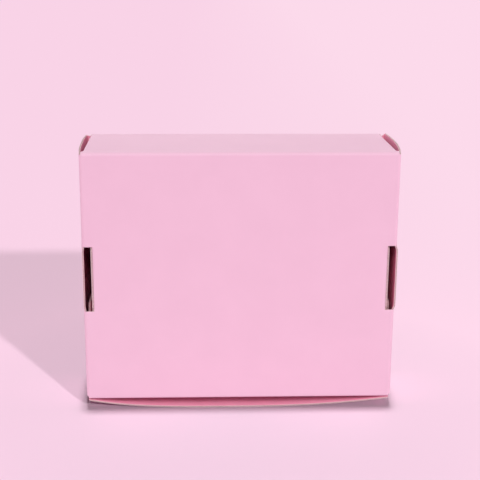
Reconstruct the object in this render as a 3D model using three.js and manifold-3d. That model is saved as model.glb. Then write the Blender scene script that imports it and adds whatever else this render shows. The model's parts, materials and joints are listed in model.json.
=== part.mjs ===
// A roll-end mailer box of thin corrugated board, closed and standing on its front flap.
// Every panel between two creases is a piece of its own, placed as it lies in the folded box.
// Sizes are millimetres and +Z is up. The base panel faces -Y and the lid faces +Y.
// Left and right are those of a person who looks at the base panel.
import * as THREE from 'three';
import { mergeVertices } from 'three/addons/utils/BufferGeometryUtils.js';
import Module from 'manifold-3d';

const wasm = await Module();
wasm.setup();

// Overall sizes of the folded box
const board = 1.5; // thickness of the corrugated board
const baseWidth = 250; // base panel, side fold to side fold
const baseDepth = 206; // base panel, front wall face to back wall face
const boxHeight = 78; // base face to lid face
const foldRadius = 1.4; // outside of a folded edge
const foldFlat = 0.1; // least flat of the board's edge beside a folded edge

// Rolled side walls
const sideFlare = 2; // the rim stands this far outside the side fold
const sideBow = 2.3; // the outer panel swells this far between fold and rim
const sideBowSteps = 12;
const sideEndInset = 0.5; // the outer panel stops this far short of the wall faces
const rimWidth = 8.4; // over the roll, outer face to inner face
const innerEndClearance = 0.8; // inner panel to front and back wall
const innerCornerCut = 4; // cut corners at the foot of the inner panel

// Slots in the base and the tabs that lock in them
const slotLength = 53;
const slotWidth = 7.5;
const tabEndClearance = 1.7;
const tabSideClearance = 0.2;
const tabRecess = 0.3; // the tab's edge stays this far behind the base face
const tabCornerCut = 0.8;

// Front wall, back wall and the ears that the rolled sides hold
const wallFootInset = 0.4; // the wall's foot reaches almost to the side fold
const wallFootHeight = 5.5; // above this the wall steps in to its ear
const cornerClearance = 0.3; // relief between the panels that meet in a corner
const cornerTaper = 5; // height over which a relief runs out
const frontWallDrop = 0.5; // front wall's top edge below the lid
const backEarClearance = 1; // back wall ear to the foot of the outer panel
const backEarLength = 77.5;
const frontEarLength = 78.5;
const earFootLift = 0.7; // lower edge of an ear above the base
const earFootRun = 12; // length of the slanted relief under the ear's crease
const earTopDrop = 0.6; // upper edge of an ear below the rim
const earEndRadius = 6;

// Lid
const lidRest = 0.3; // lid above the rims
const lidSideInset = 0.5; // lid's cut edge inside the side fold
const lidCornerTaper = 8; // length of the taper beside the lid's crease

// Front flap and its lock ears
const flapGap = 7; // the flap stands this far off the front wall in the middle
const flapSeat = 0.3; // the flap's corners keep this gap to the front wall
const flapEdgeLift = 0.5; // free edge above the level of the base face
const flapCornerRadius = 3;
const flapBowPower = 3; // a higher power keeps more of the bow flat
const flapColumns = 40;
const flapCornerRows = 4;
const flapRows = 6;
const lockEarInset = 0.8; // outer face of a lock ear inside the side fold
const lockEarSideClearance = 0.3; // lock ear to the front wall's end
const lockEarRootGap = 0.3; // lock ear to the flap that carries it
const lockEarLow = 14; // lower edge above the base face
const lockEarHigh = 58; // upper edge above the base face
const lockEarReach = 25; // depth of the ear behind the front wall's face
const lockEarRadius = 14;

// Finish of the printed board
const boardColor = 0xf4bfd7;
const boardRoughness = 0.62;
const roundSegments = 6;
const cutMargin = 2; // a cutting solid runs this far past what it cuts

// Planes and places that follow from the sizes
const sideFold = baseWidth / 2;
const fold = Math.min(foldRadius, board - foldFlat);
const lidInner = boxHeight - board;
const rimTop = lidInner - lidRest;
const rimUnder = rimTop - board;
const rimOuter = sideFold + sideFlare;
const rimInner = rimOuter - rimWidth;
const tabInner = sideFold - slotWidth + tabSideClearance;
const backWallHalf = sideFold - board - backEarClearance;
const lockEarOuter = sideFold - lockEarInset;
const frontWallHalf = lockEarOuter - board - lockEarSideClearance;
const flapHalf = lockEarOuter;
const lidHalf = sideFold - lidSideInset;
const standHeight = flapSeat + flapGap + board;
const slotLow = (baseDepth - slotLength) / 2;
const slotHigh = (baseDepth + slotLength) / 2;
const sides = [
  { name: 'left', sign: -1 },
  { name: 'right', sign: 1 },
];

const axisX = new THREE.Vector3(1, 0, 0);
const axisY = new THREE.Vector3(0, 1, 0);
const axisZ = new THREE.Vector3(0, 0, 1);
const box = new THREE.Group();
box.position.set(0, -boxHeight / 2, standHeight);

function addPiece(name, geometry) {
  const material = new THREE.MeshStandardMaterial({
    color: boardColor,
    roughness: boardRoughness,
    metalness: 0,
  });
  const piece = new THREE.Mesh(geometry, material);
  piece.name = name;
  box.add(piece);
}

// An outline is a list of [across, up] corners, each with an optional rounding radius.
function outlineShape(corners) {
  const shape = new THREE.Shape();
  corners.forEach(([across, up, radius = 0], index) => {
    const corner = new THREE.Vector2(across, up);
    const before = corners[(index + corners.length - 1) % corners.length];
    const after = corners[(index + 1) % corners.length];
    const start = towards(corner, before, radius);
    const end = towards(corner, after, radius);
    if (index === 0) {
      shape.moveTo(start.x, start.y);
    } else {
      shape.lineTo(start.x, start.y);
    }
    if (radius > 0) {
      shape.quadraticCurveTo(corner.x, corner.y, end.x, end.y);
    }
  });
  shape.closePath();
  return shape;
}

function towards(corner, other, distance) {
  const step = new THREE.Vector2(other[0], other[1]).sub(corner);
  return step.setLength(distance).add(corner);
}

// Each extrusion takes its outline in the plane across its axis and runs from low to high.
function extrudeAlong(corners, low, high, acrossAxis, upAxis, runAxis) {
  const settings = { depth: high - low, bevelEnabled: false, curveSegments: roundSegments };
  const geometry = new THREE.ExtrudeGeometry(outlineShape(corners), settings);
  geometry.translate(0, 0, low);
  geometry.applyMatrix4(new THREE.Matrix4().makeBasis(acrossAxis, upAxis, runAxis));
  return geometry;
}

function extrudeX(cornersYZ, low, high) {
  return extrudeAlong(cornersYZ, low, high, axisY, axisZ, axisX);
}

function extrudeY(cornersZX, low, high) {
  return extrudeAlong(cornersZX, low, high, axisZ, axisX, axisY);
}

function extrudeZ(cornersXY, low, high) {
  return extrudeAlong(cornersXY, low, high, axisX, axisY, axisZ);
}

function toSolid(geometry) {
  const bare = geometry.clone();
  bare.deleteAttribute('normal');
  bare.deleteAttribute('uv');
  const merged = mergeVertices(bare);
  const vertProperties = new Float32Array(merged.attributes.position.array);
  const triVerts = new Uint32Array(merged.index.array);
  return new wasm.Manifold(new wasm.Mesh({ numProp: 3, vertProperties, triVerts }));
}

function toGeometry(solid) {
  const mesh = solid.getMesh();
  const geometry = new THREE.BufferGeometry();
  geometry.setAttribute('position', new THREE.BufferAttribute(mesh.vertProperties, 3));
  geometry.setIndex(new THREE.BufferAttribute(mesh.triVerts, 1));
  geometry.computeVertexNormals();
  return geometry;
}

function common(first, second) {
  return toSolid(first).intersect(toSolid(second));
}

// Base panel: all four folded edges are rounded, and a slot opens at each side fold.
function basePanel() {
  const depthSection = [[0, 0, fold], [board, 0], [board, baseDepth], [0, baseDepth, fold]];
  const widthSection = [
    [-sideFold, 0, fold],
    [sideFold, 0, fold],
    [sideFold, board],
    [-sideFold, board],
  ];
  let solid = common(
    extrudeX(depthSection, -sideFold, sideFold),
    extrudeZ(widthSection, 0, baseDepth),
  );
  for (const { sign } of sides) {
    const inner = sign * (sideFold - slotWidth);
    const outer = sign * (sideFold + cutMargin);
    const slot = [[slotLow, inner], [slotHigh, inner], [slotHigh, outer], [slotLow, outer]];
    solid = solid.subtract(toSolid(extrudeY(slot, -cutMargin, board + cutMargin)));
  }
  return toGeometry(solid);
}

// Front and back wall: the foot reaches out to the side fold, the rest steps in to the ears.
function wallPanel(half, top, low) {
  const foot = sideFold - wallFootInset;
  const step = board + wallFootHeight;
  const outline = [
    [-foot, board],
    [foot, board],
    [half, step],
    [half, top],
    [-half, top],
    [-half, step],
  ];
  return extrudeZ(outline, low, low + board);
}

// Wall ear: a flap on the end of a wall, folded in behind the outer side panel.
function wallEar(sign, outerFace, root, length, inward) {
  const low = board + earFootLift;
  const high = rimUnder - earTopDrop;
  const tip = root + inward * length;
  const outline = [
    [board + wallFootHeight, root],
    [low, root + inward * earFootRun],
    [low, tip, earEndRadius],
    [high, tip, earEndRadius],
    [high, root],
  ];
  const faces = [sign * outerFace, sign * (outerFace - board)];
  return extrudeX(outline, Math.min(...faces), Math.max(...faces));
}

// How far the outer side panel stands outside the side fold at a share of its height.
function sideSwell(share) {
  return sideFlare * share + sideBow * 4 * share * (1 - share);
}

// Outer side panel: bowed section, ends relieved at the corners, a sill that closes the slot.
function outerSide(sign) {
  const outerFace = [];
  const innerFace = [];
  for (let step = 0; step <= sideBowSteps; step += 1) {
    const share = step / sideBowSteps;
    const height = board + share * (rimUnder - board);
    const reach = sideFold + sideSwell(share);
    outerFace.push([sign * reach, height]);
    innerFace.unshift([sign * (reach - board), height]);
  }
  const relief = board + cornerClearance;
  const step = board + wallFootHeight;
  const outline = [
    [board, relief],
    [step, relief],
    [step + cornerTaper, sideEndInset],
    [rimUnder, sideEndInset],
    [rimUnder, baseDepth - sideEndInset],
    [step + cornerTaper, baseDepth - sideEndInset],
    [step, baseDepth - relief],
    [board, baseDepth - relief],
  ];
  const reach = sideFold + sideFlare + sideBow + cutMargin;
  const panel = common(
    extrudeZ([...outerFace, ...innerFace], 0, baseDepth),
    extrudeX(outline, -reach, reach),
  );
  const sillSection = [
    [sign * (sideFold - board), tabRecess],
    [sign * sideFold, tabRecess],
    [sign * sideFold, board],
    [sign * (sideFold - board), board],
  ];
  const sill = extrudeZ(sillSection, slotLow + cornerClearance, slotHigh - cornerClearance);
  return toGeometry(panel.add(toSolid(sill)));
}

// Side rim: the roll's top, rounded on both folds, with ends that taper clear of the walls.
function sideRim(sign) {
  const section = [
    [sign * rimInner, rimUnder],
    [sign * rimOuter, rimUnder],
    [sign * rimOuter, rimTop, fold],
    [sign * rimInner, rimTop, fold],
  ];
  const taperAtWall = board + cornerClearance - sideEndInset;
  const innerInset = sideEndInset + (taperAtWall * rimWidth) / (rimOuter - backWallHalf);
  const outline = [
    [innerInset, sign * rimInner],
    [sideEndInset, sign * rimOuter],
    [baseDepth - sideEndInset, sign * rimOuter],
    [baseDepth - innerInset, sign * rimInner],
  ];
  return toGeometry(common(
    extrudeZ(section, 0, baseDepth),
    extrudeY(outline, rimUnder - cutMargin, rimTop + cutMargin),
  ));
}

// Inner side panel: leans from the rim's inner fold to the slot, where its tab locks.
function innerSide(sign) {
  const lean = (rimInner - tabInner) / (rimUnder - board);
  const footInner = tabInner - lean * (board - tabRecess);
  const section = [
    [sign * footInner, tabRecess],
    [sign * (footInner + board), tabRecess],
    [sign * (rimInner + board), rimUnder],
    [sign * rimInner, rimUnder],
  ];
  const low = board + innerEndClearance;
  const high = baseDepth - low;
  const tabLow = slotLow + tabEndClearance;
  const tabHigh = slotHigh - tabEndClearance;
  const outline = [
    [rimUnder, low],
    [rimUnder, high],
    [board + innerCornerCut, high],
    [board, high - innerCornerCut],
    [board, tabHigh],
    [tabRecess + tabCornerCut, tabHigh],
    [tabRecess, tabHigh - tabCornerCut],
    [tabRecess, tabLow + tabCornerCut],
    [tabRecess + tabCornerCut, tabLow],
    [board, tabLow],
    [board, low + innerCornerCut],
    [board + innerCornerCut, low],
  ];
  return toGeometry(common(
    extrudeZ(section, 0, baseDepth),
    extrudeX(outline, -sideFold, sideFold),
  ));
}

// Lid panel: covers both rims, and reaches past the front wall to the flap's crease.
function lidPanel() {
  const outline = [
    [-standHeight, -lidHalf],
    [-standHeight, lidHalf],
    [baseDepth - lidCornerTaper, lidHalf],
    [baseDepth, backWallHalf],
    [baseDepth, -backWallHalf],
    [baseDepth - lidCornerTaper, -lidHalf],
  ];
  const section = [
    [lidInner, -standHeight],
    [boxHeight, -standHeight, fold],
    [boxHeight, baseDepth, fold],
    [lidInner, baseDepth],
  ];
  return toGeometry(common(
    extrudeY(outline, lidInner, boxHeight),
    extrudeX(section, -lidHalf, lidHalf),
  ));
}

// Gap from the front wall's face to the flap: level at the crease, drawn in at the free corners.
function flapDistance(across, height) {
  const share = Math.min(Math.abs(across) / flapHalf, 1);
  const fall = (lidInner - height) / (lidInner - flapEdgeLift);
  return flapSeat + flapGap * (1 - fall * share ** flapBowPower);
}

// Rows of the flap from its free edge to its crease, as a height and a half width.
function flapRowList() {
  const rows = [];
  for (let step = 0; step <= flapCornerRows; step += 1) {
    const angle = (step / flapCornerRows) * (Math.PI / 2);
    const height = flapEdgeLift + flapCornerRadius * (1 - Math.cos(angle));
    const half = flapHalf - flapCornerRadius * (1 - Math.sin(angle));
    rows.push({ height, half });
  }
  const start = flapEdgeLift + flapCornerRadius;
  for (let step = 1; step <= flapRows; step += 1) {
    const height = start + (step / flapRows) * (lidInner - start);
    rows.push({ height, half: flapHalf });
  }
  return rows;
}

// Front flap: a bowed sheet whose inner and outer faces share one grid of rows and columns.
function frontFlap() {
  const rows = flapRowList();
  const across = flapColumns + 1;
  const positions = [];
  for (const layer of [0, board]) {
    for (const { height, half } of rows) {
      for (let column = 0; column <= flapColumns; column += 1) {
        const x = half * ((2 * column) / flapColumns - 1);
        positions.push(x, height, -flapDistance(x, height) - layer);
      }
    }
  }
  const triangles = [];
  const inner = (row, column) => row * across + column;
  const outer = (row, column) => rows.length * across + inner(row, column);
  const quad = (a, b, c, d) => triangles.push(a, b, c, a, c, d);
  const lastRow = rows.length - 1;
  for (let row = 0; row < lastRow; row += 1) {
    for (let column = 0; column < flapColumns; column += 1) {
      const next = column + 1;
      quad(inner(row, column), inner(row, next), inner(row + 1, next), inner(row + 1, column));
      quad(outer(row, column), outer(row + 1, column), outer(row + 1, next), outer(row, next));
    }
    quad(outer(row, 0), inner(row, 0), inner(row + 1, 0), outer(row + 1, 0));
    quad(
      inner(row, flapColumns),
      outer(row, flapColumns),
      outer(row + 1, flapColumns),
      inner(row + 1, flapColumns),
    );
  }
  for (let column = 0; column < flapColumns; column += 1) {
    const next = column + 1;
    quad(outer(0, column), outer(0, next), inner(0, next), inner(0, column));
    quad(
      inner(lastRow, column),
      inner(lastRow, next),
      outer(lastRow, next),
      outer(lastRow, column),
    );
  }
  const geometry = new THREE.BufferGeometry();
  geometry.setAttribute('position', new THREE.Float32BufferAttribute(positions, 3));
  geometry.setIndex(triangles);
  geometry.computeVertexNormals();
  return geometry;
}

// Lock ear: folded up from the flap's end into the slit behind the outer side panel.
function lockEar(sign) {
  const root = (height) => lockEarRootGap - flapDistance(flapHalf, height);
  const outline = [
    [lockEarLow, root(lockEarLow)],
    [lockEarLow, lockEarReach, lockEarRadius],
    [lockEarHigh, lockEarReach, lockEarRadius],
    [lockEarHigh, root(lockEarHigh)],
  ];
  const faces = [sign * lockEarOuter, sign * (lockEarOuter - board)];
  return extrudeX(outline, Math.min(...faces), Math.max(...faces));
}

addPiece('base_panel', basePanel());
addPiece('front_wall', wallPanel(frontWallHalf, lidInner - frontWallDrop, 0));
addPiece('back_wall', wallPanel(backWallHalf, lidInner, baseDepth - board));
for (const { name, sign } of sides) {
  addPiece(`${name}_outer_side`, outerSide(sign));
  addPiece(`${name}_side_rim`, sideRim(sign));
  addPiece(`${name}_inner_side`, innerSide(sign));
  addPiece(`${name}_front_wall_ear`, wallEar(sign, frontWallHalf, board, frontEarLength, 1));
  addPiece(`${name}_back_wall_ear`, wallEar(sign, backWallHalf, baseDepth - board, backEarLength, -1));
}
addPiece('lid_panel', lidPanel());
addPiece('front_flap', frontFlap());
for (const { name, sign } of sides) {
  addPiece(`${name}_lock_ear`, lockEar(sign));
}

export default box;
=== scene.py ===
import json
import math

import bmesh
import bpy
import numpy as np
from mathutils import Matrix, Vector

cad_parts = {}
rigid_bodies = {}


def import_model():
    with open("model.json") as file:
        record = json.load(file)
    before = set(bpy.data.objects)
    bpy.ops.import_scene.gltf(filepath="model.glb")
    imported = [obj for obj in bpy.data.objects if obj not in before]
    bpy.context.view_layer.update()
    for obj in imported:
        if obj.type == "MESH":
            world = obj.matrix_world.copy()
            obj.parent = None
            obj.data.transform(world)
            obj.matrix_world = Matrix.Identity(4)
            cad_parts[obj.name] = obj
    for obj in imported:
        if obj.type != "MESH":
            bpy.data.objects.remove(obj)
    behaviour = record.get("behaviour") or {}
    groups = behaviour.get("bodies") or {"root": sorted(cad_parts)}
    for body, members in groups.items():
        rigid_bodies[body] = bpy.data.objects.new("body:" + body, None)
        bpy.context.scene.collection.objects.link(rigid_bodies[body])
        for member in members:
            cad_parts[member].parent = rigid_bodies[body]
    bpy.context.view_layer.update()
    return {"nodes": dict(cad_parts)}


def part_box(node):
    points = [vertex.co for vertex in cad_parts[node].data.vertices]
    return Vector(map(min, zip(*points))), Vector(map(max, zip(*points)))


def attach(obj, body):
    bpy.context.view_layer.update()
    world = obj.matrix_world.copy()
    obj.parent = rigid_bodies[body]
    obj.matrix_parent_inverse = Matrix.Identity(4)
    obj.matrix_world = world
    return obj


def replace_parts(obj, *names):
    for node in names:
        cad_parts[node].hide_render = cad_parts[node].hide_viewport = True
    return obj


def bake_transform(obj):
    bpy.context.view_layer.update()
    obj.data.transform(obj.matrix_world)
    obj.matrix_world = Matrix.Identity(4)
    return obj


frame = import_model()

print("frame loaded,", len(frame["nodes"]), "panels to dress")

# the folded box in millimetres: x to the right, y from the base face to the lid face,
# z from the front wall's face to the back wall's face
perMetre = 1000
nearly = 1e-4  # closer than this is one place


def spanOf(node, axis):
    low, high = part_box(node)
    return perMetre * low[axis], perMetre * high[axis]


baseSide = spanOf("base_panel", 0)[1]  # middle to side fold
baseFace = spanOf("base_panel", 1)[0]
lidFace = spanOf("lid_panel", 1)[1]
frontFace = spanOf("front_wall", 2)[0]
backFace = spanOf("back_wall", 2)[1]
boxHeight = lidFace - baseFace
boxDepth = backFace - frontFace


def toFrame(x, y, z):
    return np.stack(np.broadcast_arrays(x, y + baseFace, z + frontFace), -1) / perMetre


sheetMake = dict(
    board=1.5,  # the whole board, print to print
    liner=0.28,  # one paper face
    medium=0.26,  # the waved paper between the faces
    pitch=3.2,  # one wave
    waveSteps=8,
    crush=0.12,  # the die presses a cut edge in by this much on each face
    crushReach=0.9,
    closing=0.5,  # how far the crushed layers close up on a cut edge
    press=0.62,  # a crease is pressed in by this much on the inside
    pressReach=1.5,
    leastRoom=0.01,  # for the wave, where a crease presses the faces together
    scoreShares=(-1, -0.5, 0, 0.5, 1),  # score lines beside an edge, in shares of crushReach
    scoreDigits=4,
    shortEdge=1.0,  # an edge up to this long gets no score lines
    sharpAngle=38.0,
)
creaseMake = dict(radius=1.4, backRadius=2.8, steps=7, cornerSteps=7, tuck=1.0)
board = sheetMake["board"]
bend = creaseMake["radius"]
tuck = creaseMake["tuck"]  # flat run between a crease and the next piece
quarter = math.pi / 2
bendRun = bend * quarter  # length of board round a square crease
backBend = creaseMake["backRadius"]  # the base turns into the back wall on a rounder crease
backBendRun = backBend * quarter


# shader parts shared by the papers
def newGroup(name, inputs, outputs):
    group = bpy.data.node_groups.new(name, "ShaderNodeTree")
    for label, kind, value in inputs:
        socket = group.interface.new_socket(name=label, in_out="INPUT", socket_type=kind)
        socket.default_value = value
    for label, kind in outputs:
        group.interface.new_socket(name=label, in_out="OUTPUT", socket_type=kind)
    return group, group.nodes.new("NodeGroupInput"), group.nodes.new("NodeGroupOutput")


def addNode(tree, kind, settings=None, **sockets):
    node = tree.nodes.new(kind)
    for label, value in (settings or {}).items():
        setattr(node, label, value)
    for label, value in sockets.items():
        key = int(label[1:]) if label[0] == "i" and label[1:].isdigit() else label  # i0 is the first socket
        if isinstance(value, bpy.types.NodeSocket):
            tree.links.new(value, node.inputs[key])
        else:
            node.inputs[key].default_value = value
    return node


def maths(tree, operation, first, second):
    return addNode(tree, "ShaderNodeMath", dict(operation=operation), i0=first, i1=second).outputs[0]


def spread(tree, value, low, high, toLow, toHigh):  # from one range to another
    node = addNode(tree, "ShaderNodeMapRange", None, i0=value, i1=low, i2=high, i3=toLow, i4=toHigh)
    return node.outputs[0]


def noise(tree, **sockets):
    return addNode(tree, "ShaderNodeTexNoise", dict(noise_dimensions="2D"), **sockets).outputs[0]


def blendColor(tree, factor, first, second):
    node = addNode(tree, "ShaderNodeMix", dict(data_type="RGBA"), i0=factor, i6=first, i7=second)
    return node.outputs[2]


# paper grain: fibres laid across the flutes, and a slow clouding of the stock and the ink
grainMake = dict(
    fibreWidth=0.12, fibreLength=0.7, cloudSize=26.0,
    fibre=dict(Scale=1.0, Detail=3.0, Roughness=0.6, Distortion=0.7),
    cloud=dict(Detail=5.0, Roughness=0.55),
    speck=dict(Scale=1.4, Detail=4.0, Roughness=0.75))


def makeGrainGroup():
    group, given, out = newGroup(
        "paperGrain",
        [("Fibre Width", "NodeSocketFloat", grainMake["fibreWidth"]),
         ("Fibre Length", "NodeSocketFloat", grainMake["fibreLength"]),
         ("Cloud Size", "NodeSocketFloat", grainMake["cloudSize"])],
        [("Fibre", "NodeSocketFloat"), ("Cloud", "NodeSocketFloat"), ("Speck", "NodeSocketFloat")])
    sheet = addNode(group, "ShaderNodeUVMap", dict(uv_map="sheet")).outputs[0]
    split = addNode(group, "ShaderNodeSeparateXYZ", None, Vector=sheet)
    along = maths(group, "DIVIDE", split.outputs[0], given.outputs["Fibre Width"])
    across = maths(group, "DIVIDE", split.outputs[1], given.outputs["Fibre Length"])
    laid = addNode(group, "ShaderNodeCombineXYZ", None, X=along, Y=across).outputs[0]
    group.links.new(noise(group, Vector=laid, **grainMake["fibre"]), out.inputs["Fibre"])
    size = maths(group, "DIVIDE", 1.0, given.outputs["Cloud Size"])
    group.links.new(noise(group, Vector=sheet, Scale=size, **grainMake["cloud"]), out.inputs["Cloud"])
    group.links.new(noise(group, Vector=sheet, **grainMake["speck"]), out.inputs["Speck"])
    return group


# marks of making: rubbed cut edges, creases that are partly stretched print and partly painted shade, and the
# flutes' faint ridges
marksMake = dict(
    edgePower=3.0, edgeBroken=(0.3, 0.7, 0.35, 1.0),  # a speck's range, and what it becomes
    foldPower=2.0, foldBroken=(0.42, 0.62, 0.25, 1.0))


def makeMarksGroup():
    group, given, out = newGroup(
        "boardMarks",
        [("Speck", "NodeSocketFloat", 0.5), ("Pitch", "NodeSocketFloat", sheetMake["pitch"])],
        [("Edge Rub", "NodeSocketFloat"), ("Fold Rub And Shade", "NodeSocketFloat"), ("Ridges", "NodeSocketFloat")])
    cut = addNode(group, "ShaderNodeAttribute", dict(attribute_name="cutNear")).outputs["Fac"]
    broken = spread(group, given.outputs["Speck"], *marksMake["edgeBroken"])
    rub = maths(group, "POWER", cut, marksMake["edgePower"])
    group.links.new(maths(group, "MULTIPLY", rub, broken), out.inputs["Edge Rub"])
    # the crease mask carries painted shade as well as stretched print
    fold = addNode(group, "ShaderNodeAttribute", dict(attribute_name="foldNear")).outputs["Fac"]
    broken = spread(group, given.outputs["Speck"], *marksMake["foldBroken"])
    rub = maths(group, "POWER", fold, marksMake["foldPower"])
    group.links.new(maths(group, "MULTIPLY", rub, broken), out.inputs["Fold Rub And Shade"])
    sheet = addNode(group, "ShaderNodeUVMap", dict(uv_map="sheet")).outputs[0]
    split = addNode(group, "ShaderNodeSeparateXYZ", None, Vector=sheet)
    turns = maths(group, "DIVIDE", split.outputs[1], given.outputs["Pitch"])
    ridge = maths(group, "SINE", maths(group, "MULTIPLY", turns, 2 * math.pi), 0.0)
    group.links.new(ridge, out.inputs["Ridges"])
    return group


def newPaper(name):
    finish = bpy.data.materials.new(name)
    finish.use_nodes = True
    tree = finish.node_tree
    grain = addNode(tree, "ShaderNodeGroup", dict(node_tree=grainGroup))
    return finish, tree, tree.nodes["Principled BSDF"], grain


def linear(red, green, blue):  # a screen colour, 0 to 255, as light
    return tuple((c / 12.92 if c <= 0.04045 else ((c + 0.055) / 1.055) ** 2.4)
                 for c in (red / 255, green / 255, blue / 255)) + (1.0,)


# along the creases the ink turns darker: partly stretched print, partly painted shade
outsideLook = dict(
    deep=linear(240, 197, 218), pale=linear(242, 199, 220), foldRubShadeColor=linear(232, 182, 203),
    edgePale=linear(246, 218, 226), roughLow=0.5, roughHigh=0.66, shine=0.3,
    fibreLift=0.35, ridgeLift=0.12, cloudSize=30.0, edgeRub=0.4, foldRubShadeAmount=0.6)
insideLook = dict(
    deep=linear(247, 164, 191), pale=linear(249, 167, 194), foldRubShadeColor=linear(238, 150, 178),
    edgePale=linear(244, 208, 214), roughLow=0.6, roughHigh=0.78, shine=0.22,
    fibreLift=0.5, ridgeLift=0.16, cloudSize=22.0, edgeRub=0.4, foldRubShadeAmount=0.4)
printMake = dict(cloudRange=(0.3, 0.7), fibreRange=(0.25, 0.75), bump=0.5, bumpDepth=0.00002)


def makePrint(name, look):
    finish, tree, shader, grain = newPaper(name)
    grain.inputs["Cloud Size"].default_value = look["cloudSize"]
    marks = addNode(tree, "ShaderNodeGroup", dict(node_tree=marksGroup), Speck=grain.outputs["Speck"])
    clouded = spread(tree, grain.outputs["Cloud"], *printMake["cloudRange"], 0.0, 1.0)
    ink = blendColor(tree, clouded, look["deep"], look["pale"])
    # creases painted darker: painted shade, partly stretched print
    fold = maths(tree, "MULTIPLY", marks.outputs["Fold Rub And Shade"], look["foldRubShadeAmount"])
    ink = blendColor(tree, fold, ink, look["foldRubShadeColor"])
    edge = maths(tree, "MULTIPLY", marks.outputs["Edge Rub"], look["edgeRub"])
    ink = blendColor(tree, edge, ink, look["edgePale"])
    tree.links.new(ink, shader.inputs["Base Color"])
    rough = spread(tree, grain.outputs["Fibre"], *printMake["fibreRange"],
                   look["roughLow"], look["roughHigh"])
    tree.links.new(rough, shader.inputs["Roughness"])
    lift = maths(tree, "ADD", maths(tree, "MULTIPLY", grain.outputs["Fibre"], look["fibreLift"]),
                 maths(tree, "MULTIPLY", marks.outputs["Ridges"], look["ridgeLift"]))
    bump = addNode(tree, "ShaderNodeBump", None, Strength=printMake["bump"],
                   Distance=printMake["bumpDepth"], Height=lift)
    tree.links.new(bump.outputs[0], shader.inputs["Normal"])
    shader.inputs["Specular IOR Level"].default_value = look["shine"]
    return finish


cutLook = dict(deep=linear(226, 190, 194), pale=linear(243, 215, 217), rough=0.9, lift=0.8)
flutedLook = dict(deep=linear(188, 154, 155), pale=linear(214, 180, 180), rough=0.92, lift=0.8)
bareMake = dict(
    fibreWidth=0.08, fibreLength=0.5, stockRange=(0.35, 0.65), bump=0.6, bumpDepth=0.00004, shine=0.2)


def makeBarePaper(name, look):
    finish, tree, shader, grain = newPaper(name)
    grain.inputs["Fibre Width"].default_value = bareMake["fibreWidth"]
    grain.inputs["Fibre Length"].default_value = bareMake["fibreLength"]
    both = maths(tree, "ADD", grain.outputs["Fibre"], grain.outputs["Speck"])
    average = maths(tree, "MULTIPLY", both, 0.5)
    flecked = spread(tree, average, *bareMake["stockRange"], 0.0, 1.0)
    stock = blendColor(tree, flecked, look["deep"], look["pale"])
    tree.links.new(stock, shader.inputs["Base Color"])
    lift = maths(tree, "MULTIPLY", grain.outputs["Fibre"], look["lift"])
    bump = addNode(tree, "ShaderNodeBump", None, Strength=bareMake["bump"],
                   Distance=bareMake["bumpDepth"], Height=lift)
    tree.links.new(bump.outputs[0], shader.inputs["Normal"])
    shader.inputs["Roughness"].default_value = look["rough"]
    shader.inputs["Specular IOR Level"].default_value = bareMake["shine"]
    return finish


grainGroup = makeGrainGroup()
marksGroup = makeMarksGroup()
finishes = {
    "outsidePrint": makePrint("outsidePrint", outsideLook),
    "insidePrint": makePrint("insidePrint", insideLook),
    "cutPaper": makeBarePaper("cutPaper", cutLook),
    "flutedPaper": makeBarePaper("flutedPaper", flutedLook),
}
onOutside, onInside, onCut, onFlutes = range(len(finishes))  # their places on every piece
print("papers mixed:", ", ".join(finishes))


def steps(start, end, count):
    return list(np.linspace(start, end, count + 1))


def bendSteps(start, length=bendRun):
    return steps(start, start + length, creaseMake["steps"])


def rounded(corners, count=creaseMake["cornerSteps"]):  # corners are (u, v) or (u, v, radius)
    line = []
    for index, corner in enumerate(corners):
        here = np.array(corner[:2], float)
        if len(corner) == 2:
            line.append(tuple(here))
            continue
        before = np.array(corners[index - 1][:2], float)
        after = np.array(corners[(index + 1) % len(corners)][:2], float)
        toBefore = (before - here) / np.linalg.norm(before - here)
        toAfter = (after - here) / np.linalg.norm(after - here)
        half = math.acos(np.clip(toBefore @ toAfter, -1, 1)) / 2
        reach = corner[2] / math.tan(half)
        middle = here + (toBefore + toAfter) / np.linalg.norm(toBefore + toAfter) * corner[2] / math.sin(half)
        first, last = here + toBefore * reach - middle, here + toAfter * reach - middle
        turn = math.pi - 2 * half
        for step in range(count + 1):
            share = step / count
            mixed = (math.sin((1 - share) * turn) * first + math.sin(share * turn) * last) / math.sin(turn)
            line.append(tuple(middle + mixed))
    return line


def bothSides(lineFor):  # each half from its low end to its high end
    return lineFor(1) + [(-u, v) for u, v in reversed(lineFor(-1))]


def mirrored(rightLine):
    return bothSides(lambda side: rightLine)


# a line that runs flat and turns: runs are (length, turn); gives the place and the way into the board
def foldedLine(start, heading, inward, runs):
    def at(s):
        place = np.array(start, float)
        angle = heading
        across = np.zeros((len(s), 2))
        into = np.zeros((len(s), 2))
        left = np.array(s, float)
        for index, (length, turn) in enumerate(runs):
            first, last = index == 0, index == len(runs) - 1
            here = ((left >= 0) | first) & ((left <= length) | last)
            run = left[here]
            if turn:
                radius = length / turn
                now = angle + run / radius
                across[here, 0] = place[0] + radius * (np.sin(now) - math.sin(angle))
                across[here, 1] = place[1] - radius * (np.cos(now) - math.cos(angle))
                place = place + radius * np.array([
                    math.sin(angle + turn) - math.sin(angle), math.cos(angle) - math.cos(angle + turn)])
            else:
                now = np.full(len(run), angle)
                across[here, 0] = place[0] + run * math.cos(angle)
                across[here, 1] = place[1] + run * math.sin(angle)
                place = place + length * np.array([math.cos(angle), math.sin(angle)])
            into[here, 0] = -inward * np.sin(now)
            into[here, 1] = inward * np.cos(now)
            angle += turn
            left = left - length
        return across, into
    return at


flatOn = (9, 0)  # a last flat run, which goes on as far as it has to


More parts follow.
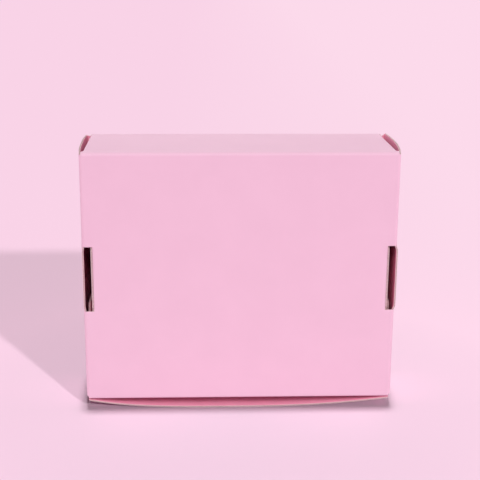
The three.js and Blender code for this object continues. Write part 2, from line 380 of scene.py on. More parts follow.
# cut the outline from a flat sheet and score it into cells
def cutFlat(outline, cutsU, cutsV):
    flat = bmesh.new()
    flat.faces.new([flat.verts.new((u, v, 0)) for u, v in outline])
    for way, cuts in (((1, 0, 0), cutsU), ((0, 1, 0), cutsV)):
        for at in cuts:
            bmesh.ops.bisect_plane(
                flat, geom=flat.verts[:] + flat.edges[:] + flat.faces[:], dist=nearly,
                plane_co=[at * part for part in way], plane_no=way)
    bmesh.ops.triangulate(flat, faces=[face for face in flat.faces if len(face.verts) > 4])
    flat.verts.index_update()
    spots = np.array([vert.co[:2] for vert in flat.verts])
    cells = [[vert.index for vert in face.verts] for face in flat.faces]
    rims = []
    for edge in flat.edges:
        if len(edge.link_faces) == 1:
            loop = edge.link_loops[0]
            rims.append((loop.vert.index, loop.link_loop_next.vert.index))
    flat.free()
    return spots, cells, rims


def nearCut(spots, outline, joined):  # 1 on a cut edge, 0 where the die's pressure has run out
    near = np.full(len(spots), np.inf)
    for (u0, v0), (u1, v1) in zip(outline, outline[1:] + outline[:1]):
        if isJoined(u0, v0, u1, v1, joined):
            continue
        start, run = np.array([u0, v0]), np.array([u1 - u0, v1 - v0])
        share = np.clip(((spots - start) @ run) / max(run @ run, nearly ** 2), 0, 1)
        near = np.minimum(near, np.linalg.norm(spots - start - share[:, None] * run, axis=1))
    return np.clip(1 - near / sheetMake["crushReach"], 0, 1)


def isJoined(u0, v0, u1, v1, joined):
    for axis, at in joined:  # an edge on u or v at a value, or any edge below v
        pair = (u0, u1) if axis == "u" else (v0, v1)
        if axis == "below" and max(pair) < at:
            return True
        if axis != "below" and max(abs(pair[0] - at), abs(pair[1] - at)) < nearly:
            return True
    return False


def nearFold(spots, folds):  # 1 along a crease
    near = np.zeros(len(spots))
    for axis, at in folds:
        away = np.abs(spots[:, 0 if axis == "u" else 1] - at)
        near = np.maximum(near, np.exp(-(away / sheetMake["pressReach"]) ** 2))
    return near


def scoreAt(at):  # rounded, so that lines on one place count once
    return round(at, sheetMake["scoreDigits"])


def edgeLines(outline, joined, axis):  # score lines beside straight cut edges and across the ends of seams
    lines = set()
    index = 0 if axis == "u" else 1
    low = min(point[index] for point in outline)
    high = max(point[index] for point in outline)
    for start, end in zip(outline, outline[1:] + outline[:1]):
        seam = isJoined(*start, *end, joined)
        straight = abs(start[index] - end[index]) < nearly
        long = abs(start[1 - index] - end[1 - index]) > sheetMake["shortEdge"]
        if straight and seam:
            lines.add(scoreAt(start[index]))
        elif seam or (straight and long):
            for at in (start[index], end[index]):
                lines |= {scoreAt(at + sheetMake["crushReach"] * share) for share in sheetMake["scoreShares"]}
    return sorted(line for line in lines if low < line < high)


class BoardMesh:
    def __init__(self):
        self.verts, self.faces, self.slots, self.smooth = [], [], [], []
        self.sheet, self.cut, self.fold = [], [], []
        self.count = 0

    def addLayer(self, flat, place, depths, marks, runs, slots):
        spots, cells, rims = flat
        top = place(spots[:, 0], spots[:, 1], depths[0])
        bottom = place(spots[:, 0], spots[:, 1], depths[1])
        probe = cells[len(cells) // 2]
        side = np.cross(top[probe[1]] - top[probe[0]], top[probe[2]] - top[probe[0]])
        flip = side @ (top[probe[0]] - bottom[probe[0]]) < 0
        base, under = self.count, self.count + len(spots)
        for cell in cells:
            ring = cell[::-1] if flip else cell
            self.addFace([base + i for i in ring], slots[0], True)
            self.addFace([under + i for i in ring[::-1]], slots[1], True)
        for first, second in rims:
            a, b = (second, first) if flip else (first, second)
            self.addFace([base + b, base + a, under + a, under + b], slots[2], False)
        self.verts += [top, bottom]
        self.sheet += [runs, runs]
        self.cut += [marks[0], marks[0]]
        self.fold += [marks[1], marks[1]]
        self.count += 2 * len(spots)

    def addFace(self, ring, slot, smooth):
        self.faces.append(ring)
        self.slots.append(slot)
        self.smooth.append(smooth)

    def toObject(self, name):
        mesh = bpy.data.meshes.new(name)
        mesh.from_pydata(np.concatenate(self.verts).tolist(), [], self.faces)
        mesh.polygons.foreach_set("material_index", self.slots)
        mesh.polygons.foreach_set("use_smooth", self.smooth)
        for label, parts in (("cutNear", self.cut), ("foldNear", self.fold)):
            mesh.attributes.new(label, "FLOAT", "POINT").data.foreach_set(
                "value", np.concatenate(parts).astype(np.float32))
        corners = np.zeros(len(mesh.loops), int)
        mesh.loops.foreach_get("vertex_index", corners)
        mesh.uv_layers.new(name="sheet").data.foreach_set(
            "uv", np.concatenate(self.sheet)[corners].astype(np.float32).ravel())
        mesh.set_sharp_from_angle(angle=math.radians(sheetMake["sharpAngle"]))
        mesh.update()
        piece = bpy.data.objects.new(name, mesh)
        bpy.context.scene.collection.objects.link(piece)
        for finish in finishes.values():
            mesh.materials.append(finish)
        return piece


# where each panel lies on the printed sheet, so that no two show the same grain
sheetSpots = dict(
    base_board=(0, 0), front_wall_board=(31, 12), back_wall_board=(7, 300),
    left_front_ear_board=(-400, 12), right_front_ear_board=(400, 12),
    left_back_ear_board=(-430, 300), right_back_ear_board=(430, 300),
    left_outer_side_board=(-127, 0), right_outer_side_board=(127, 0),
    left_rim_board=(-200, 0), right_rim_board=(200, 0),
    left_inner_side_board=(-300, 0), right_inner_side_board=(300, 0),
    lid_board=(60, 500), lid_crease=(90, 410), flap_board=(20, 800), flap_crease=(50, 770),
    left_lock_ear_board=(-90, 640), right_lock_ear_board=(90, 640))


# one panel of the box: two printed paper faces with the waved paper between them
def makePanel(name, outline, place, flutes, bendsU=(), bendsV=(), folds=(), joined=()):
    panel = BoardMesh()
    shift = sheetSpots[name]
    outline = [(float(u), float(v)) for u, v in outline]
    liner, medium, pitch = sheetMake["liner"], sheetMake["medium"], sheetMake["pitch"]

    def depthsAt(spots):
        cut, fold = nearCut(spots, outline, joined), nearFold(spots, folds)
        outer = sheetMake["crush"] * cut ** 2
        inner = board - sheetMake["crush"] * cut ** 2 - sheetMake["press"] * fold
        free = np.maximum((inner - outer) / 2 - liner - medium / 2, sheetMake["leastRoom"])
        closed = free * sheetMake["closing"] * cut ** 2
        return cut, fold, outer, inner, liner + closed, free - closed

    def runsAt(spots):  # along the flutes, then across them
        along, across = (0, 1) if flutes == "u" else (1, 0)
        return np.stack([spots[:, along] + shift[0], spots[:, across] + shift[1]], -1)

    cutsU = sorted(set(bendsU) | set(edgeLines(outline, joined, "u")))
    cutsV = sorted(set(bendsV) | set(edgeLines(outline, joined, "v")))
    flat = cutFlat(outline, cutsU, cutsV)
    spots = flat[0]
    cut, fold, outer, inner, thick, _ = depthsAt(spots)
    panel.addLayer(flat, place, (outer, outer + thick), (cut, fold), runsAt(spots),
                   (onOutside, onCut, onCut))
    panel.addLayer(flat, place, (inner - thick, inner), (cut, fold), runsAt(spots),
                   (onCut, onInside, onCut))

    across = 1 if flutes == "u" else 0
    low = min(point[across] for point in outline)
    high = max(point[across] for point in outline)
    waves = np.arange(math.ceil(low / pitch * sheetMake["waveSteps"]), high / pitch * sheetMake["waveSteps"])
    waves = list(waves * pitch / sheetMake["waveSteps"])
    flat = cutFlat(outline, *((list(bendsU), waves) if flutes == "u" else (waves, list(bendsV))))
    spots = flat[0]
    cut, fold, outer, inner, _, room = depthsAt(spots)
    wave = (inner + outer) / 2 + room * np.sin(2 * math.pi * spots[:, across] / pitch)
    panel.addLayer(flat, place, (wave - medium / 2, wave + medium / 2), (cut, fold), runsAt(spots),
                   (onFlutes, onFlutes, onFlutes))
    return panel.toObject(name)


# rolled sides: how far the outer panel stands outside the side fold, by height above the base
rollMake = dict(
    flare={-1: 2.0, 1: 0.2}, bow={-1: 2.5, 1: 2.8},  # both panels bulge, and the left one leans out too
    low=1.5, high=74.7, foldTop=2.1, rimTop=76.2, rimInner=118.6,
    endInset=0.5, relief=1.8, reliefHigh=7.0, reliefOut=12.0,
    endRise={-1: 0.0, 1: 1.1},  # the right roll sits a little high at the back
    backPull={-1: 0.9, 1: 0.0}, backPower=5,  # and the left panel swells less there
    innerEnd=2.3, innerCorner=4.0, innerTaper=4.0,
    heightSteps=18, backFrom=20.0, backTo=4.0, backSteps=7)  # bends up the panel, and along its back part
slotMake = dict(
    length=54.0, width={-1: 8.0, 1: 7.4},
    tabGap=2.2, tabSeat=0.1, recess=0.3, tabCorner=0.8, sillGap=0.3,
    dip={-1: 0.6, 1: 0.4}, dipReach=2.6, dipEdge=0.01, dipSteps=4,  # the tab draws the base in beside it
    swell={-1: 0.6, 1: 1.3}, swellHigh=30.0, swellRamp=3.5,  # the outer panel springs out there
    swellSpread=0.5, rampLead=14.0, rampSteps=10)
slotLow = (boxDepth - slotMake["length"]) / 2
slotHigh = (boxDepth + slotMake["length"]) / 2
rollSpan = rollMake["high"] - rollMake["low"]


def sideReach(side, y):  # outer face and its slope
    share = (y - rollMake["low"]) / rollSpan
    flare, bow = rollMake["flare"][side], rollMake["bow"][side]
    reach = baseSide + flare * share + 4 * bow * share * (1 - share)
    slope = (flare + 4 * bow * (1 - 2 * share)) / rollSpan
    return reach, slope


def slotInner(side):  # the slot's edge on the base
    return baseSide - slotMake["width"][side]


def slotSwell(side, y, z):  # how far the outer panel springs out over the slot, and its slope
    high, ramp = slotMake["swellHigh"], slotMake["swellRamp"]
    left = np.clip(1 - (y - slotMake["recess"]) / high, 0, 1)
    wider = slotMake["swellSpread"] * np.maximum(y - rollMake["foldTop"] - tuck, 0)
    inside = np.minimum(z - slotLow, slotHigh - z) + wider
    along = np.clip(inside / (ramp + wider), 0, 1)
    along = along * along * (3 - 2 * along) * slotMake["swell"][side]
    return along * left ** 2, -along * 2 * left / high


def sidePull(side, y, z):  # how far the outer panel is drawn in towards its back end, and its slope
    turn = math.pi * np.clip((y - rollMake["low"]) / rollSpan, 0, 1)
    along = rollMake["backPull"][side] * np.clip(z / boxDepth, 0, 1) ** rollMake["backPower"]
    return along * np.sin(turn) ** 2, along * np.sin(2 * turn) * math.pi / rollSpan


def sideFold(side):  # radius, turn and start of the crease between base and outer side
    reach, slope = sideReach(side, rollMake["foldTop"])
    turn = quarter - math.atan(slope)
    radius = rollMake["foldTop"] / (1 - math.cos(turn))
    return radius, turn, reach - radius * math.sin(turn)


# base panel with its four creases; the corners are notched and each side crease opens in a slot
wallMake = dict(
    footInset=0.4, footHigh=7.0, frontHalf=122.4, frontTop=76.0, backHalf=122.5,
    earTop=74.2, slit=0.1,  # the upper cut beside an ear, and half of a cut's width
    backLean={-1: 0.0, 1: 2.4})  # the back wall's right end leans in towards the lid
noLean = {-1: 0.0, 1: 0.0}
wallLow = {"front": bend + tuck, "back": backBend + tuck}


def footHalf(y, half):
    share = (y - board) / (wallMake["footHigh"] - board)
    return baseSide - wallMake["footInset"] + share * (half - baseSide + wallMake["footInset"])


def placeBase(u, v, depth):
    x, yAcross = np.zeros(len(u)), np.zeros(len(u))
    for side in (-1, 1):
        here = (u * side) >= 0
        radius, turn, start = sideFold(side)
        line = foldedLine((0, 0), 0, 1, [(start, 0), (radius * turn, turn), flatOn])
        across, into = line(np.abs(u[here]))
        x[here] = side * (across[:, 0] + depth[here] * into[:, 0])
        yAcross[here] = across[:, 1] + depth[here] * into[:, 1]
    half = boxDepth / 2
    y, z = np.zeros(len(u)), np.zeros(len(u))
    for end, radius in ((-1, bend), (1, backBend)):
        here = (v - half) * end >= 0
        line = foldedLine((0, 0), 0, 1, [(half - radius, 0), (radius * quarter, quarter), flatOn])
        across, into = line(np.abs(v[here] - half))
        z[here] = half + end * (across[:, 0] + depth[here] * into[:, 0])
        y[here] = np.maximum(yAcross[here], across[:, 1] + depth[here] * into[:, 1])
    inner = np.where(u < 0, slotInner(-1), slotInner(1))
    beside = np.clip(1 - (inner - np.abs(u)) / slotMake["dipReach"], 0, 1)
    beside = beside * (np.abs(u) < inner + slotMake["dipEdge"])
    along = np.clip((half - np.abs(v - half) - slotLow) / slotMake["dipReach"], 0, 1)
    dip = np.where(u < 0, slotMake["dip"][-1], slotMake["dip"][1]) * beside ** 2 * along
    return toFrame(x, y + dip, z)


def makeBase():
    frontEnd = bend - bendRun - tuck
    backEnd = boxDepth - backBend + backBendRun + tuck
    ends, bendsU, folds = {}, [], []
    for side in (-1, 1):
        radius, turn, start = sideFold(side)
        slope = sideReach(side, rollMake["foldTop"])[1]
        foot = footHalf(wallLow["back"], wallMake["backHalf"])
        corner = start + radius * math.asin((foot - start) / radius)
        end = start + radius * turn + tuck * math.hypot(1, slope)
        ends[side] = (corner, end)
        bendsU += [side * at for at in bendSteps(start, radius * turn)]
        folds.append(("u", side * (start + radius * turn / 2)))
    relief = rollMake["relief"]

    def halfLine(side):
        corner, end = ends[side]
        inner = slotInner(side)
        return [(corner, frontEnd), (corner, relief), (end, relief), (end, slotLow), (inner, slotLow),
                (inner, slotHigh), (end, slotHigh), (end, boxDepth - relief), (corner, boxDepth - relief),
                (corner, backEnd)]
    outline = bothSides(halfLine)
    dipSteps = steps(0, slotMake["dipReach"], slotMake["dipSteps"])
    bendsU += [side * (slotInner(side) - at) for side in (-1, 1) for at in dipSteps]
    bendsV = bendSteps(bend - bendRun, bendRun) + bendSteps(boxDepth - backBend, backBendRun)
    bendsV += [slotLow + at for at in dipSteps] + [slotHigh - at for at in dipSteps]
    folds += [("v", bend - bendRun / 2), ("v", boxDepth - backBend + backBendRun / 2)]
    joined = [("v", frontEnd), ("v", backEnd)] + [("u", side * ends[side][1]) for side in (-1, 1)]
    return makePanel("base_board", outline, placeBase, "u", bendsU, bendsV, folds, joined)


piece = makeBase()
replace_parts(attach(piece, "tray"), "base_panel")
print("base cut and creased")


# front and back wall: square creases at the ends turn into the ears
def leanAt(lean, side, y):
    return lean[side] * np.clip((y - wallMake["footHigh"]) / (boxHeight - wallMake["footHigh"]), 0, 1)


def makeWall(name, half, foot, top, outerFace, inward, topJoined, lean):
    start = half - bend
    earStart = start + bendRun + tuck
    slit = wallMake["slit"]
    low, high = wallMake["footHigh"] + slit, wallMake["earTop"]
    line = foldedLine((0, 0), 0, 1, [(start, 0), (bendRun, quarter), flatOn])

    def place(u, v, depth):
        across, into = line(np.abs(u))
        straight = (v < low) | (v > high)
        x = np.where(straight, np.abs(u), across[:, 0] + depth * into[:, 0])
        z = np.where(straight, depth, across[:, 1] + depth * into[:, 1])
        drawn = np.where(u < 0, leanAt(lean, -1, v), leanAt(lean, 1, v)) * np.abs(u) / half
        return toFrame(np.sign(u) * (x - drawn), v, outerFace + inward * z)

    outline = mirrored([
        (footHalf(foot, half), foot), (half, low - slit), (start, low - slit), (start, low + slit),
        (earStart, low + slit), (earStart, high - slit), (start, high - slit), (start, high + slit),
        (half, high + slit), (half, top)])
    joined = [("v", foot), ("u", earStart), ("u", -earStart)] + ([("v", top)] if topJoined else [])
    bendsU = [side * at for side in (-1, 1) for at in bendSteps(start)]
    folds = [("u", side * (start + bendRun / 2)) for side in (-1, 1)]
    return makePanel(name, outline, place, "u", bendsU, [], folds, joined)


piece = makeWall("front_wall_board", wallMake["frontHalf"], wallLow["front"], wallMake["frontTop"],
                 0, 1, False, noLean)
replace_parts(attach(piece, "tray"), "front_wall")
lidCreaseStart = boxHeight - bend - tuck  # height on the back wall where the lid's crease piece begins
piece = makeWall("back_wall_board", wallMake["backHalf"], wallLow["back"], lidCreaseStart,
                 boxDepth, -1, True, wallMake["backLean"])
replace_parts(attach(piece, "tray"), "back_wall")
print("front and back wall stood up")

# ears on the walls' ends, held inside the rolled sides
earMake = dict(low=2.2, tipLow=10.0, high=74.1, footRun=12.0, tipRadius=3.0, frontTip=80.0, backTip=127.0)


def makeEar(name, side, half, root, tip, footEnd, lean):
    def place(u, v, depth):
        return toFrame(side * (half - leanAt(lean, side, v) - depth), v, u)
    outline = rounded([
        (root, wallMake["footHigh"] + 2 * wallMake["slit"]), (footEnd, earMake["low"]),
        (tip, earMake["tipLow"], earMake["tipRadius"]), (tip, earMake["high"], earMake["tipRadius"]),
        (root, earMake["high"])])
    return makePanel(name, outline, place, "u", [], [wallMake["footHigh"]], [], [("u", root)])


for side, word in ((-1, "left"), (1, "right")):
    piece = makeEar(word + "_front_ear_board", side, wallMake["frontHalf"], bend + tuck, earMake["frontTip"],
                    board + earMake["footRun"], noLean)
    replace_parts(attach(piece, "tray"), word + "_front_wall_ear")
    piece = makeEar(word + "_back_ear_board", side, wallMake["backHalf"], boxDepth - bend - tuck,
                    earMake["backTip"], boxDepth - board - earMake["footRun"], wallMake["backLean"])
    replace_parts(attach(piece, "tray"), word + "_back_wall_ear")
print("ears folded in")


# rolled side: outer panel, rim and inner panel with the lock tab
def makeOuterSide(word, side):
    def place(u, v, depth):
        reach, slope = sideReach(side, u)
        swell, swellSlope = slotSwell(side, u, v)
        pull, pullSlope = sidePull(side, u, v)
        reach, slope = reach + swell - pull, slope + swellSlope - pullSlope
        length = np.hypot(1, slope)
        return toFrame(side * (reach - depth / length), u + depth * slope / length, v)
    low, high = rollMake["foldTop"] + tuck, rollMake["high"] - tuck
    relief, inset, rise = rollMake["relief"], rollMake["endInset"], rollMake["endRise"][side]
    sillLow, sillHigh = slotLow + slotMake["sillGap"], slotHigh - slotMake["sillGap"]
    outline = [
        (low, relief), (rollMake["reliefHigh"], relief), (rollMake["reliefOut"], inset), (high, inset),
        (high, boxDepth - inset + rise), (rollMake["reliefOut"], boxDepth - inset),
        (rollMake["reliefHigh"], boxDepth - relief), (low, boxDepth - relief), (low, slotHigh),
        (low, sillHigh), (slotMake["recess"], sillHigh), (slotMake["recess"], sillLow), (low, sillLow),
        (low, slotLow)]
    bends = steps(low, high, rollMake["heightSteps"])[1:-1]
    rampSteps = steps(-slotMake["rampLead"], slotMake["swellRamp"], slotMake["rampSteps"])
    ramps = [slotLow + at for at in rampSteps] + [slotHigh - at for at in rampSteps]
    ramps += steps(slotHigh + rollMake["backFrom"], boxDepth - rollMake["backTo"], rollMake["backSteps"])
    return makePanel(word + "_outer_side_board", outline, place, "u", bends, ramps, [],
                     [("u", low), ("u", high)])


def makeRim(word, side):
    reach, slope = sideReach(side, rollMake["high"])
    lean = math.atan(-slope)
    firstRadius = (rollMake["rimTop"] - rollMake["high"]) / (1 - math.sin(lean))
    secondRadius = rollMake["rimTop"] - rollMake["high"]
    rimInner = rollMake["rimInner"]
    lead = tuck * math.hypot(1, slope)  # flat run at the top of the outer panel
    flat = reach - firstRadius * math.cos(lean) - secondRadius - rimInner
    firstRun, secondRun = firstRadius * (quarter - lean), secondRadius * quarter
    start = (reach - slope * tuck, rollMake["high"] - tuck)
    line = foldedLine(start, quarter + lean, 1, [
        (lead, 0), (firstRun, quarter - lean), (flat, 0), (secondRun, quarter), flatOn])

    def place(u, v, depth):
        across, into = line(u)
        return toFrame(side * (across[:, 0] + depth * into[:, 0]), across[:, 1] + depth * into[:, 1], v)
    inset, rise = rollMake["endInset"], rollMake["endRise"][side]
    innerInset = inset + (rollMake["relief"] - inset) * (reach - rimInner) / (reach - wallMake["backHalf"])
    folded = lead + firstRun
    end = folded + flat + secondRun + tuck
    outline = [(0, inset), (folded - firstRun / 2, inset), (end - tuck - secondRun / 2, innerInset),
               (end, innerInset), (end, boxDepth - innerInset),
               (end - tuck - secondRun / 2, boxDepth - innerInset),
               (folded - firstRun / 2, boxDepth - inset + rise), (0, boxDepth - inset + rise)]
    bends = bendSteps(lead, firstRun) + bendSteps(folded + flat, secondRun)
    folds = [("u", lead + firstRun / 2), ("u", folded + flat + secondRun / 2)]
    return makePanel(word + "_rim_board", outline, place, "u", bends, [], folds,
                     [("u", 0), ("u", end)]), innerInset


def makeInnerSide(word, side, innerInset):
    rimInner = rollMake["rimInner"]
    foot = slotInner(side) + slotMake["tabSeat"]
    lean = (rimInner - foot) / rollSpan

    def place(u, v, depth):
        face = foot + lean * (u - rollMake["low"])
        return toFrame(side * (face + depth), u - lean * depth, v)
    top, end = rollMake["high"] - tuck, rollMake["innerEnd"]
    tabLow, tabHigh = slotLow + slotMake["tabGap"], slotHigh - slotMake["tabGap"]
    tip, corner, cutCorner = slotMake["recess"], slotMake["tabCorner"], rollMake["innerCorner"]
    taper = rollMake["innerTaper"]
    outline = [
        (top, innerInset), (top, boxDepth - innerInset), (top - taper, boxDepth - end),
        (board + cutCorner, boxDepth - end), (board, boxDepth - end - cutCorner), (board, tabHigh),
        (tip + corner, tabHigh), (tip, tabHigh - corner), (tip, tabLow + corner), (tip + corner, tabLow),
        (board, tabLow), (board, end + cutCorner), (board + cutCorner, end), (top - taper, end)]
    return makePanel(word + "_inner_side_board", outline, place, "u", joined=[("u", top)])


for side, word in ((-1, "left"), (1, "right")):
    piece = makeOuterSide(word, side)
    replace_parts(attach(piece, "tray"), word + "_outer_side")
    piece, innerInset = makeRim(word, side)
    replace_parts(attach(piece, "tray"), word + "_side_rim")
    piece = makeInnerSide(word, side, innerInset)
    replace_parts(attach(piece, "tray"), word + "_inner_side")
print("sides rolled and tabs locked")

# lid, with the crease that hinges it on the back wall
lidMake = dict(half=124.5, taper=8.0)
standDrop = frontFace - spanOf("front_flap", 2)[0]  # the lid reaches this far past the front wall
lidLow = -standDrop + bend + tuck
lidHigh = boxDepth - bend - tuck


def backTopHalf(side):  # the back wall's upper end
    return wallMake["backHalf"] - leanAt(wallMake["backLean"], side, lidCreaseStart)


def lidBackHalf(side):
    share = 1 - (boxDepth - lidHigh) / lidMake["taper"]
    return lidMake["half"] - (lidMake["half"] - backTopHalf(side)) * share


def placeLid(u, v, depth):
    return toFrame(u, boxHeight - depth, v)


lidLine = bothSides(lambda side: [
    (lidMake["half"], lidLow), (lidMake["half"], boxDepth - lidMake["taper"]), (lidBackHalf(side), lidHigh)])
piece = makePanel("lid_board", lidLine, placeLid, "u", joined=[("v", lidLow), ("v", lidHigh)])
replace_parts(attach(piece, "lid"), "lid_panel")


def placeLidCrease(u, v, depth):
    line = foldedLine((boxDepth, lidCreaseStart), quarter, 1, [(tuck, 0), (bendRun, quarter), flatOn])
    across, into = line(v)
    return toFrame(u, across[:, 1] + depth * into[:, 1], across[:, 0] + depth * into[:, 0])


creaseEnd = bendRun + 2 * tuck
lidCreaseLine = bothSides(lambda side: [(backTopHalf(side), 0.0), (lidBackHalf(side), creaseEnd)])
piece = makePanel("lid_crease", lidCreaseLine, placeLidCrease, "u", [], bendSteps(tuck),
                  [("v", creaseEnd / 2)], [("v", 0), ("v", creaseEnd)])
toFrame(0, boxHeight - bend, boxDepth)
toFrame(0, boxHeight, boxDepth - bend)
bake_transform(piece)
print("lid hung on its crease")

# front flap: worn outside the front wall, its free edge bowed out between the corners
flapMake = dict(
    half=124.2, gap=7.0, seat=0.3, edge=0.5, corner=3.0,
    power={-1: 3.6, 1: 2.4},  # the bow is fuller on the left
    columns=48, rows=9, rowsFrom=4.0, rowsTo=72.0)
earLockMake = dict(low=14.0, high=58.0, reach=25.0, radius=14.0, slit=0.1, rootPoints=12)
flapHigh = boxHeight - bend - tuck
flapHinge = boxHeight - board


def flapOuter(x, y):  # z of the flap's outer face, and its slope across
    share = np.minimum(np.abs(x) / flapMake["half"], 1)
    power = np.where(x < 0, flapMake["power"][-1], flapMake["power"][1])
    fall = np.clip((flapHinge - y) / (flapHinge - flapMake["edge"]), 0, None)
    outer = -flapMake["seat"] - flapMake["gap"] * (1 - fall * share ** power) - board
    slope = flapMake["gap"] * fall * power * share ** (power - 1) / flapMake["half"]
    return outer, slope


wingStart = flapMake["half"] - bend
wingEnd = wingStart + bendRun + tuck


def wingPlace(side, y, s):  # round the crease from the flap into a lock ear
    outer, slope = flapOuter(np.full(len(y), side * wingStart), y)
    tilt = np.arctan(slope)
    radius = bend / (1 - np.sin(tilt))
    now = np.minimum(tilt + np.maximum(s, 0) / radius, quarter)
    past = np.maximum(s - radius * (quarter - tilt), 0)
    x = wingStart + radius * (np.sin(now) - np.sin(tilt))
    z = outer + radius * (np.cos(tilt) - np.cos(now)) + past
    return x, z, -np.sin(now), np.cos(now)


def placeFlap(u, v, depth):
    outer, _ = flapOuter(u, v)
    x, z = u.copy(), outer + depth
    for side in (-1, 1):
        here = (u * side > wingStart) & (v > earLockMake["low"]) & (v < earLockMake["high"])
        wingX, wingZ, intoX, intoZ = wingPlace(side, v[here], u[here] * side - wingStart)
        x[here] = side * (wingX + depth[here] * intoX)
        z[here] = wingZ + depth[here] * intoZ
    return toFrame(x, v, z)


def makeFlap():
    low, high, slit = earLockMake["low"], earLockMake["high"], earLockMake["slit"]
    half = flapMake["half"]
    right = rounded([
        (0, flapMake["edge"]), (half, flapMake["edge"], flapMake["corner"]), (half, low - slit),
        (wingStart, low - slit), (wingStart, low + slit), (wingEnd, low + slit), (wingEnd, high - slit),
        (wingStart, high - slit), (wingStart, high + slit), (half, high + slit), (half, flapHigh)])[1:]
    bendsU = [side * at for side in (-1, 1) for at in bendSteps(wingStart)] + flapColumns
    folds = [("u", side * (wingStart + bendRun / 2)) for side in (-1, 1)]
    joined = [("v", flapHigh), ("u", wingEnd), ("u", -wingEnd)]
    bendsV = steps(flapMake["rowsFrom"], flapMake["rowsTo"], flapMake["rows"])
    return makePanel("flap_board", mirrored(right), placeFlap, "u", bendsU, bendsV, folds, joined)


flapColumns = steps(-wingStart, wingStart, flapMake["columns"])
piece = makeFlap()
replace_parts(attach(piece, "flap"), "front_flap")


def placeFlapCrease(u, v, depth):
    line = foldedLine((lidLow, boxHeight), math.pi, 1, [(tuck, 0), (bendRun, quarter), flatOn])
    across, into = line(v)
    y, z = across[:, 1] + depth * into[:, 1], across[:, 0] + depth * into[:, 0]
    onFlap = v > tuck + bendRun
    outer, _ = flapOuter(u, across[:, 1])
    return toFrame(u, y, np.where(onFlap, outer + depth, z))


flapCreaseLine = mirrored([
    (lidMake["half"], 0.0), (flapMake["half"], tuck + bendRun), (flapMake["half"], creaseEnd)])
piece = makePanel("flap_crease", flapCreaseLine, placeFlapCrease, "u", flapColumns, bendSteps(tuck),
                  [("v", creaseEnd / 2)], [("v", 0), ("v", creaseEnd)])
toFrame(0, boxHeight, -standDrop + bend)
toFrame(0, boxHeight - bend, -standDrop)
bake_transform(piece)


def makeLockEar(word, side):
    low, high, slit = earLockMake["low"], earLockMake["high"], earLockMake["slit"]
    root = np.linspace(low + slit, high - slit, earLockMake["rootPoints"])
    _, rootZ, _, _ = wingPlace(side, root, np.full(len(root), wingEnd - wingStart))

    def place(u, v, depth):
        return toFrame(side * (flapMake["half"] - depth), u, v)
    top = [(high - slit, earLockMake["reach"], earLockMake["radius"]),
           (low + slit, earLockMake["reach"], earLockMake["radius"])]
    outline = rounded(list(zip(root.tolist(), rootZ.tolist())) + top)
    return makePanel(word + "_lock_ear_board", outline, place, "v", joined=[("below", 0)])


for side, word in ((-1, "left"), (1, "right")):
    piece = makeLockEar(word, side)
    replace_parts(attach(piece, "flap"), word + "_lock_ear")
print("flap bowed and its ears turned up")

# camera as the photo was taken; the picture is square
cameraMake = dict(place=(-31.1, -863.1, 385.0), yaw=2.14, pitch=16.27, roll=0.36, lens=81.44, sensor=36.0)


def setCamera(make):
    yaw, pitch, roll = (math.radians(make[part]) for part in ("yaw", "pitch", "roll"))
    ahead = Vector((math.sin(yaw) * math.cos(pitch), math.cos(yaw) * math.cos(pitch), -math.sin(pitch)))
    level = Vector((math.cos(yaw), -math.sin(yaw), 0))
    upright = level.cross(ahead)
    right = level * math.cos(roll) + upright * math.sin(roll)
    up = -level * math.sin(roll) + upright * math.cos(roll)
    camera = bpy.data.objects.new("camera", bpy.data.cameras.new("camera"))
    camera.data.lens, camera.data.sensor_width = make["lens"], make["sensor"]
    turned = Matrix((right, up, -ahead)).transposed().to_4x4()
    camera.matrix_world = Matrix.Translation(Vector(make["place"]) / perMetre) @ turned
    bpy.context.scene.collection.objects.link(camera)
    bpy.context.scene.camera = camera


setCamera(cameraMake)

# a pale pink floor that runs on to the horizon, with painted light towards the right and painted shade near
# the box, and the same pink behind it
stageMake = dict(
    # painted light: the floor is painted lighter towards the right
    floorColor=linear(249, 211, 231), paintedLightRight=linear(252, 218, 235), paintedLightFrom=-0.1, paintedLightTo=0.4,
    # painted shade: the floor is painted darker and greyer towards the box
    paintedShadeColor=linear(218, 196, 211), paintedShadeMiddle=(0, -0.05, 0), paintedShadeReach=0.29,  # offsets the box's pink glow
    floorGlow=linear(224, 190, 208),  # what the floor throws back on the box
    floorSize=40.0, floorCells=8, backColor=linear(249, 212, 231), sky=0.1)
# the photo's box and floor are lit apart: soft light all round the box, a low and a high lamp for its shadows
lampMake = dict(
    boxTop=dict(toward=(0.0, 0.0, -1.0), strength=0.36, angle=170.0, lights="box"),
    boxFront=dict(toward=(0.075, 0.75, -0.66), strength=0.5, angle=30.0, lights="box"),
    boxBack=dict(toward=(0.0, -1.0, 0.25), strength=0.42, angle=50.0, lights="box"),
    boxLeft=dict(toward=(1.0, 0.0, -0.05), strength=0.24, angle=100.0, lights="box"),
    boxRight=dict(toward=(-1.0, 0.08, 0.05), strength=0.5, reach=1.4, size=0.6, lights="box"),
    floorKey=dict(toward=(-0.465, 0.767, -0.443), strength=0.544, angle=2.5, lights="floor"),
    floorTop=dict(toward=(-0.004, -0.036, -1.0), strength=0.66, angle=4.0, lights="floor"))


def seenRays(tree):  # 1 for what the camera sees, straight or in a shine
    rays = addNode(tree, "ShaderNodeLightPath")
    shine = maths(tree, "MAXIMUM", rays.outputs["Is Glossy Ray"], rays.outputs["Is Transmission Ray"])
    return maths(tree, "MAXIMUM", rays.outputs["Is Camera Ray"], shine)


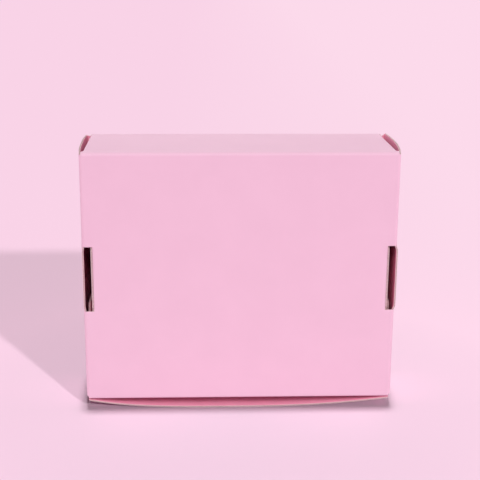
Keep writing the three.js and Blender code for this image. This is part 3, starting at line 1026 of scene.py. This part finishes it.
def setStage(make):
    grid = bmesh.new()
    bmesh.ops.create_grid(grid, x_segments=make["floorCells"], y_segments=make["floorCells"],
                          size=make["floorSize"] / 2)
    mesh = bpy.data.meshes.new("floor")
    grid.to_mesh(mesh)
    grid.free()
    floor = bpy.data.objects.new("floor", mesh)
    bpy.context.scene.collection.objects.link(floor)
    finish = bpy.data.materials.new("paleFloor")
    finish.use_nodes = True
    tree = finish.node_tree
    tree.nodes.remove(tree.nodes["Principled BSDF"])
    spot = addNode(tree, "ShaderNodeTexCoord").outputs["Object"]
    away = addNode(tree, "ShaderNodeVectorMath", dict(operation="DISTANCE"), i0=spot, i1=make["paintedShadeMiddle"])
    across = addNode(tree, "ShaderNodeSeparateXYZ", None, Vector=spot).outputs[0]
    # painted light: the floor turns lighter towards the right
    right = spread(tree, across, make["paintedLightFrom"], make["paintedLightTo"], 0.0, 1.0)
    color = blendColor(tree, right, make["floorColor"], make["paintedLightRight"])
    # painted shade: the floor turns darker and greyer towards the box
    near = spread(tree, away.outputs["Value"], 0.0, make["paintedShadeReach"], 1.0, 0.0)
    color = blendColor(tree, near, color, make["paintedShadeColor"])
    seen = addNode(tree, "ShaderNodeBsdfDiffuse", None, Color=color)
    glow = addNode(tree, "ShaderNodeBsdfDiffuse", None, Color=make["floorGlow"])
    choice = addNode(tree, "ShaderNodeMixShader", None, i0=seenRays(tree),
                     i1=glow.outputs[0], i2=seen.outputs[0])
    tree.links.new(choice.outputs[0], tree.nodes["Material Output"].inputs["Surface"])
    mesh.materials.append(finish)
    world = bpy.data.worlds.new("studio")
    world.use_nodes = True
    tree = world.node_tree
    light = tree.nodes["Background"]
    light.inputs["Color"].default_value = (1, 1, 1, 1)
    light.inputs["Strength"].default_value = make["sky"]
    seen = addNode(tree, "ShaderNodeBackground", None, Color=make["backColor"], Strength=1.0)
    choice = addNode(tree, "ShaderNodeMixShader", None, i0=seenRays(tree),
                     i1=light.outputs[0], i2=seen.outputs[0])
    tree.links.new(choice.outputs[0], tree.nodes["World Output"].inputs["Surface"])
    bpy.context.scene.world = world


def setLamps(make):
    lit = {"box": bpy.data.collections.new("boxLit"), "floor": bpy.data.collections.new("floorLit")}
    for shown in bpy.context.scene.objects:
        if shown.type == "MESH":
            lit["floor" if shown.name == "floor" else "box"].objects.link(shown)
    for name, lamp in make.items():
        near = "reach" in lamp  # a softbox beside the box; the others stand far off
        data = bpy.data.lights.new(name, "AREA" if near else "SUN")
        data.energy = lamp["strength"] * math.pi * (math.pi * lamp["reach"] ** 2 if near else 1)
        light = bpy.data.objects.new(name, data)
        toward = Vector(lamp["toward"]).normalized()
        if near:
            data.size = lamp["size"]
            middle = Vector((0, 0, (frontFace + boxDepth / 2) / perMetre))
            light.location = middle - toward * lamp["reach"]
        else:
            data.angle = math.radians(lamp["angle"])
        light.rotation_mode = "QUATERNION"
        light.rotation_quaternion = toward.to_track_quat("-Z", "Y")
        light.light_linking.receiver_collection = lit[lamp["lights"]]
        bpy.context.scene.collection.objects.link(light)


setStage(stageMake)
setLamps(lampMake)
bpy.context.scene.view_settings.view_transform = "Standard"
print("floor, lamps and camera set")
